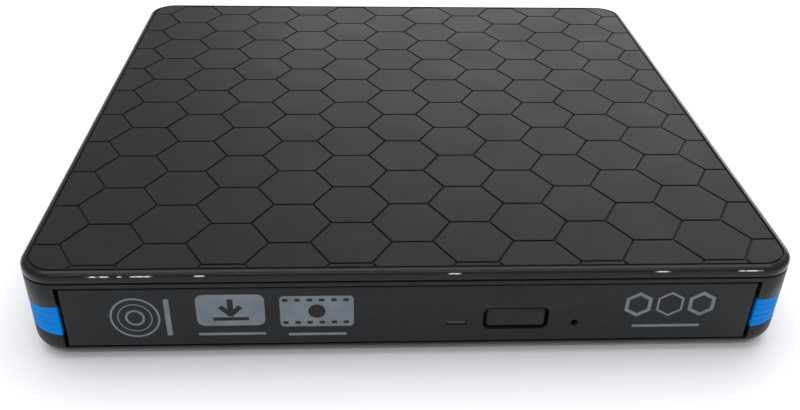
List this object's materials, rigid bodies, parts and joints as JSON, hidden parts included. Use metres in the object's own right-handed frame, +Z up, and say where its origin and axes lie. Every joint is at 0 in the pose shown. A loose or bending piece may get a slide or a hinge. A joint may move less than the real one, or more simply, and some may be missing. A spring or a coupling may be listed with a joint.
{
  "type": "external optical drive",
  "caption": "Slim external disc drive: flat case with a honeycomb lid, blue corner inserts, and a sliding disc tray with an eject button in its front.",
  "frame": {"origin": "on the surface the feet stand on, under the middle of the case", "axes": "+X to the right across the width, -Y towards the user through the tray's front, +Z up"},
  "size_m": [0.145, 0.14, 0.02],
  "materials": {
    "lid_plastic": "satin dark grey, finely textured",
    "case_plastic": "satin black moulding",
    "bezel_plastic": "smooth satin black",
    "blue_plastic": "bright blue moulding with ribs",
    "tray_plastic": "matt black moulding",
    "hub_plastic": "smooth black moulding",
    "white_plastic": "natural acetal",
    "rubber": "matt black rubber",
    "sheet_steel": "zinc-plated pressed sheet",
    "bright_steel": "bright machined steel",
    "circuit_board": "green solder mask",
    "chip_black": "black moulded resin",
    "lens_glass": "coated lens",
    "lamp_clear": "clear light pipe",
    "flex_film": "amber film with copper lines"
  },
  "bodies": {
    "case": {"top_cover": "lid_plastic", "bottom_case": "case_plastic", "corner_insert_left": "blue_plastic", "corner_insert_right": "blue_plastic", "foot_front_left": "rubber", "foot_front_right": "rubber", "foot_rear_left": "rubber", "foot_rear_right": "rubber", "case_screw_1": "bright_steel", "case_screw_2": "bright_steel", "case_screw_3": "bright_steel", "case_screw_4": "bright_steel", "bridge_board": "circuit_board", "bridge_chip": "chip_black", "bridge_screw_left": "bright_steel", "bridge_screw_right": "bright_steel", "usb_socket": "bright_steel", "sata_connector": "chip_black", "drive_chassis": "sheet_steel", "drive_cover": "sheet_steel", "rail_guide_left": "white_plastic", "rail_guide_right": "white_plastic", "main_board": "circuit_board", "controller_chip": "chip_black", "motor_driver_chip": "chip_black", "drive_connector": "chip_black", "eject_plunger": "white_plastic", "eject_spring": "bright_steel", "latch_pin": "bright_steel"},
    "tray": {"disc_tray": "tray_plastic", "front_bezel": "bezel_plastic", "light_pipe": "lamp_clear", "tray_board": "circuit_board", "eject_switch": "chip_black", "latch_pivot": "bright_steel", "latch_solenoid": "bright_steel", "traverse_frame": "sheet_steel", "spindle_motor": "sheet_steel", "guide_rod_left": "bright_steel", "guide_rod_right": "bright_steel", "stepper_motor": "sheet_steel", "damper_1": "rubber", "damper_2": "rubber", "damper_3": "rubber", "flex_cable": "flex_film"},
    "left_rail": {"rail_left": "bright_steel"},
    "right_rail": {"rail_right": "bright_steel"},
    "button": {"eject_button": "bezel_plastic"},
    "hub": {"spindle_hub": "hub_plastic", "turntable_pad": "rubber"},
    "sled": {"laser_sled": "chip_black", "lens_holder": "white_plastic", "objective_lens": "lens_glass"},
    "screw": {"lead_screw": "bright_steel"},
    "latch": {"latch_lever": "white_plastic"}
  },
  "joints": [
    {"name": "tray_slide", "type": "slide", "parent": "case", "child": "tray", "axis": [0, -1, 0], "range_m": [0, 0.127], "deforming": ["flex_cable"]},
    {"name": "left_rail_slide", "type": "slide", "parent": "case", "child": "left_rail", "axis": [0, -1, 0], "range_m": [0, 0.0635]},
    {"name": "right_rail_slide", "type": "slide", "parent": "case", "child": "right_rail", "axis": [0, -1, 0], "range_m": [0, 0.0635]},
    {"name": "eject_button_press", "type": "slide", "parent": "tray", "child": "button", "axis": [0, 1, 0], "range_m": [0, 0.0008], "stiffness_N_per_m": 800},
    {"name": "hub_spin", "type": "hinge", "parent": "tray", "child": "hub", "pos_m": [0, -0.0046, 0.0115], "axis": [0, 0, 1], "continuous": true},
    {"name": "sled_slide", "type": "slide", "parent": "tray", "child": "sled", "axis": [-0.7071, -0.7071, 0], "range_m": [0, 0.0335]},
    {"name": "screw_spin", "type": "hinge", "parent": "tray", "child": "screw", "pos_m": [-0.01273, -0.04278, 0.0067], "axis": [-0.7071, -0.7071, 0], "continuous": true},
    {"name": "latch_swing", "type": "hinge", "parent": "tray", "child": "latch", "pos_m": [0.044, -0.06, 0.0057], "axis": [0, 0, 1], "range_deg": [0, 12], "stiffness_Nm_per_rad": 0.002}
  ],
  "couplings": [
    {"joint": "left_rail_slide", "follows": "tray_slide", "ratio": 0.5},
    {"joint": "right_rail_slide", "follows": "tray_slide", "ratio": 0.5},
    {"joint": "screw_spin", "follows": "sled_slide", "rad_per_m": 2094.4}
  ]
}
